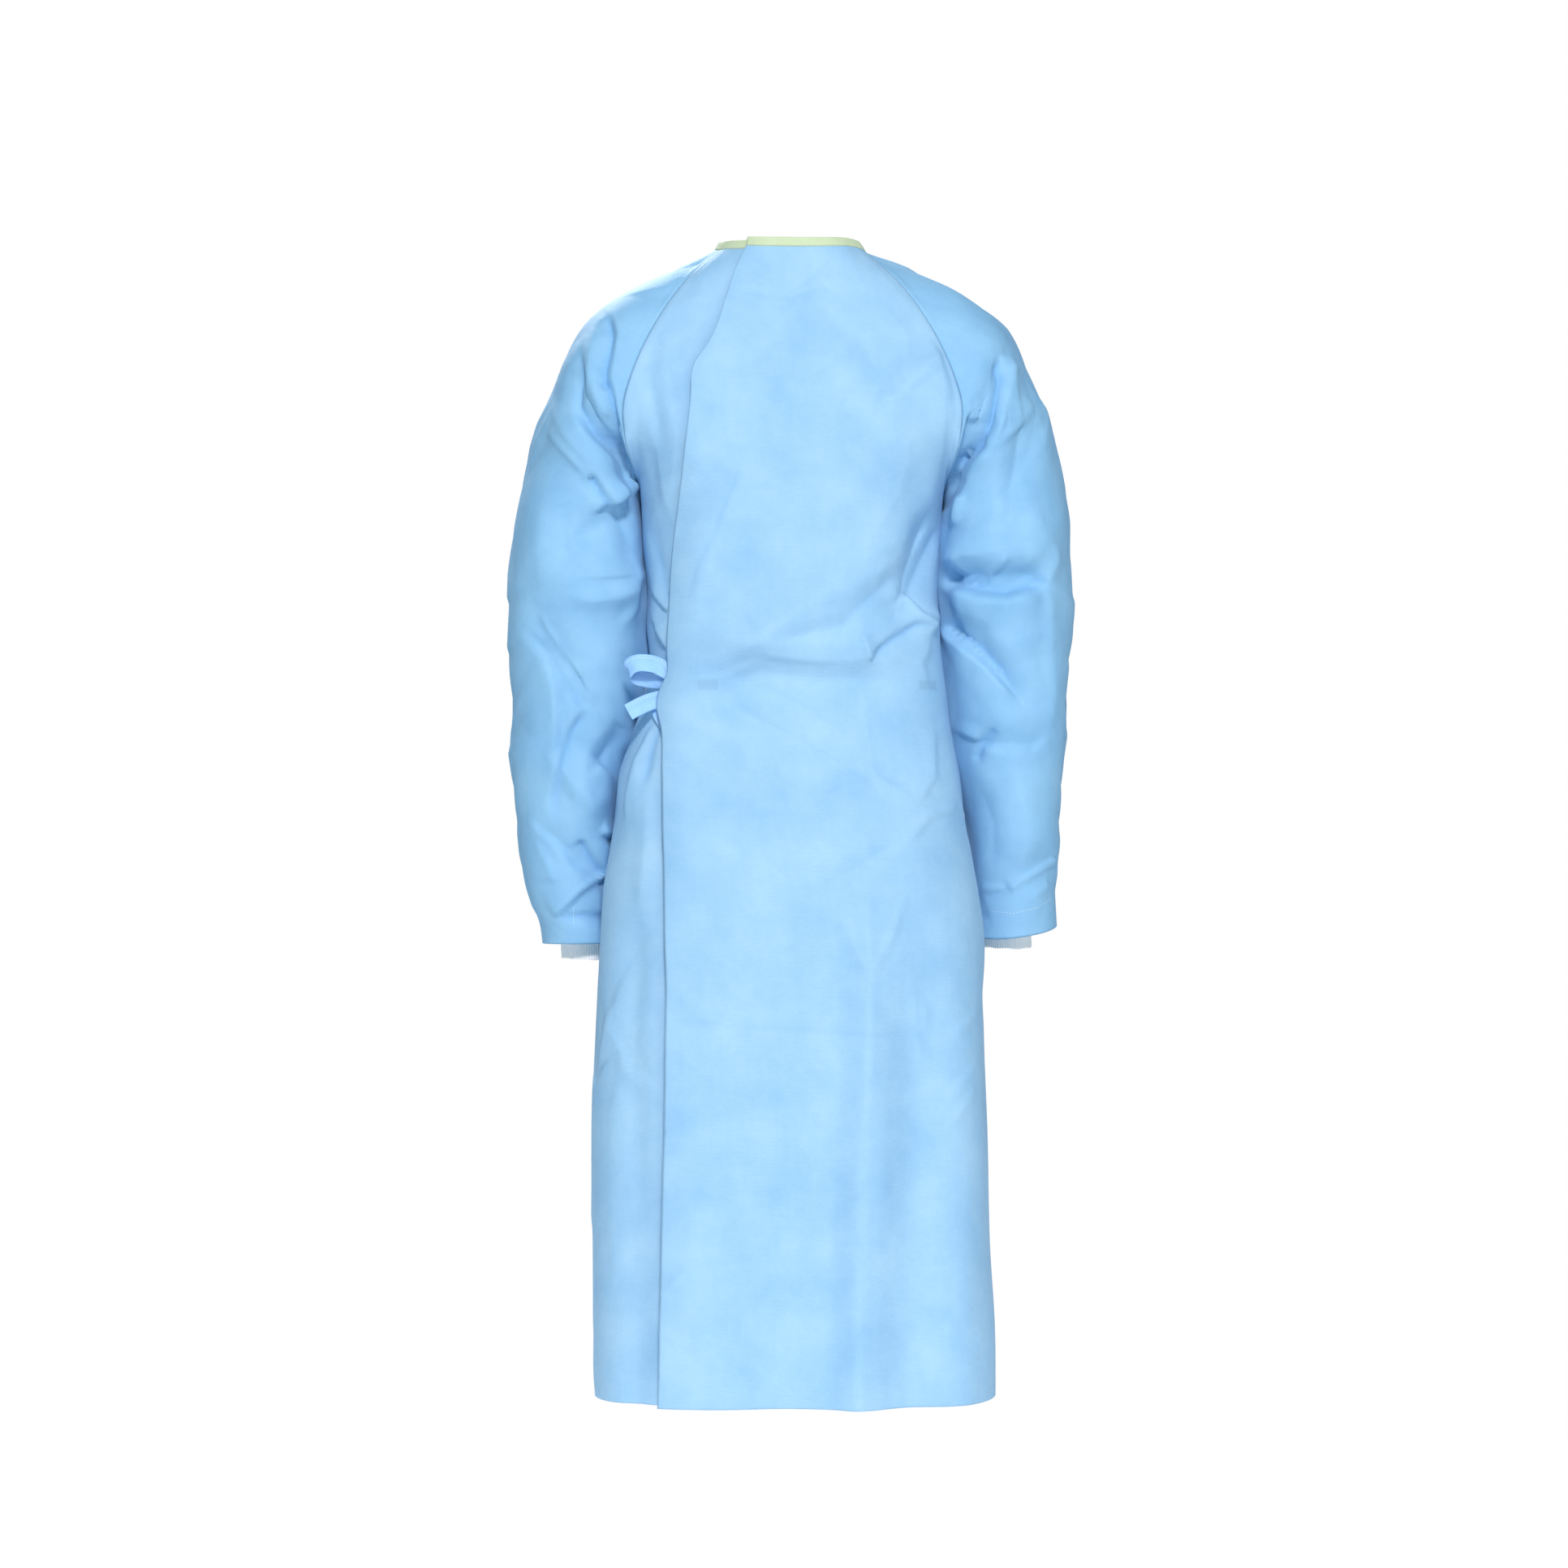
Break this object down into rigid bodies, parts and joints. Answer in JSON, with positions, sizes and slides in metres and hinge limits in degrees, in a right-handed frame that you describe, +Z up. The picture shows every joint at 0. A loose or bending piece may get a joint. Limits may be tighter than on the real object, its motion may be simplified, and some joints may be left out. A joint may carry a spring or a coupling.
{
  "type": "surgical gown",
  "caption": "Hollow worn surgical gown, wrapped and tied at the back, with raglan sleeves, knit cuffs and a bound neck.",
  "frame": {"origin": "middle of the neck opening, level with the points where the neckline crosses the shoulders", "axes": "+Z up along the wearer, -Y out of the gown's back with its wrap-over opening, +Y out of its front, +X to the wearer's right"},
  "size_m": [0.5693, 0.3021, 1.1584],
  "materials": {
    "cloth": "matt light-blue nonwoven with fine level ribs",
    "sleeve": "matt light-blue nonwoven with a fine diagonal point emboss",
    "knit": "white ribbed knit",
    "binding": "pale yellow bias binding, stitched",
    "tie": "matt light-blue folded nonwoven strip, stitched along one edge"
  },
  "bodies": {
    "root": {"front_panel": "cloth", "back_panel_right": "cloth", "back_panel_left": "cloth", "sleeve_left": "sleeve", "sleeve_right": "sleeve", "cuff_left": "knit", "cuff_right": "knit", "neck_binding": "binding", "tie_knot": "tie", "tie_loop": "tie", "tie_tail_upper": "tie", "tie_tail_lower": "tie"}
  },
  "joints": []
}
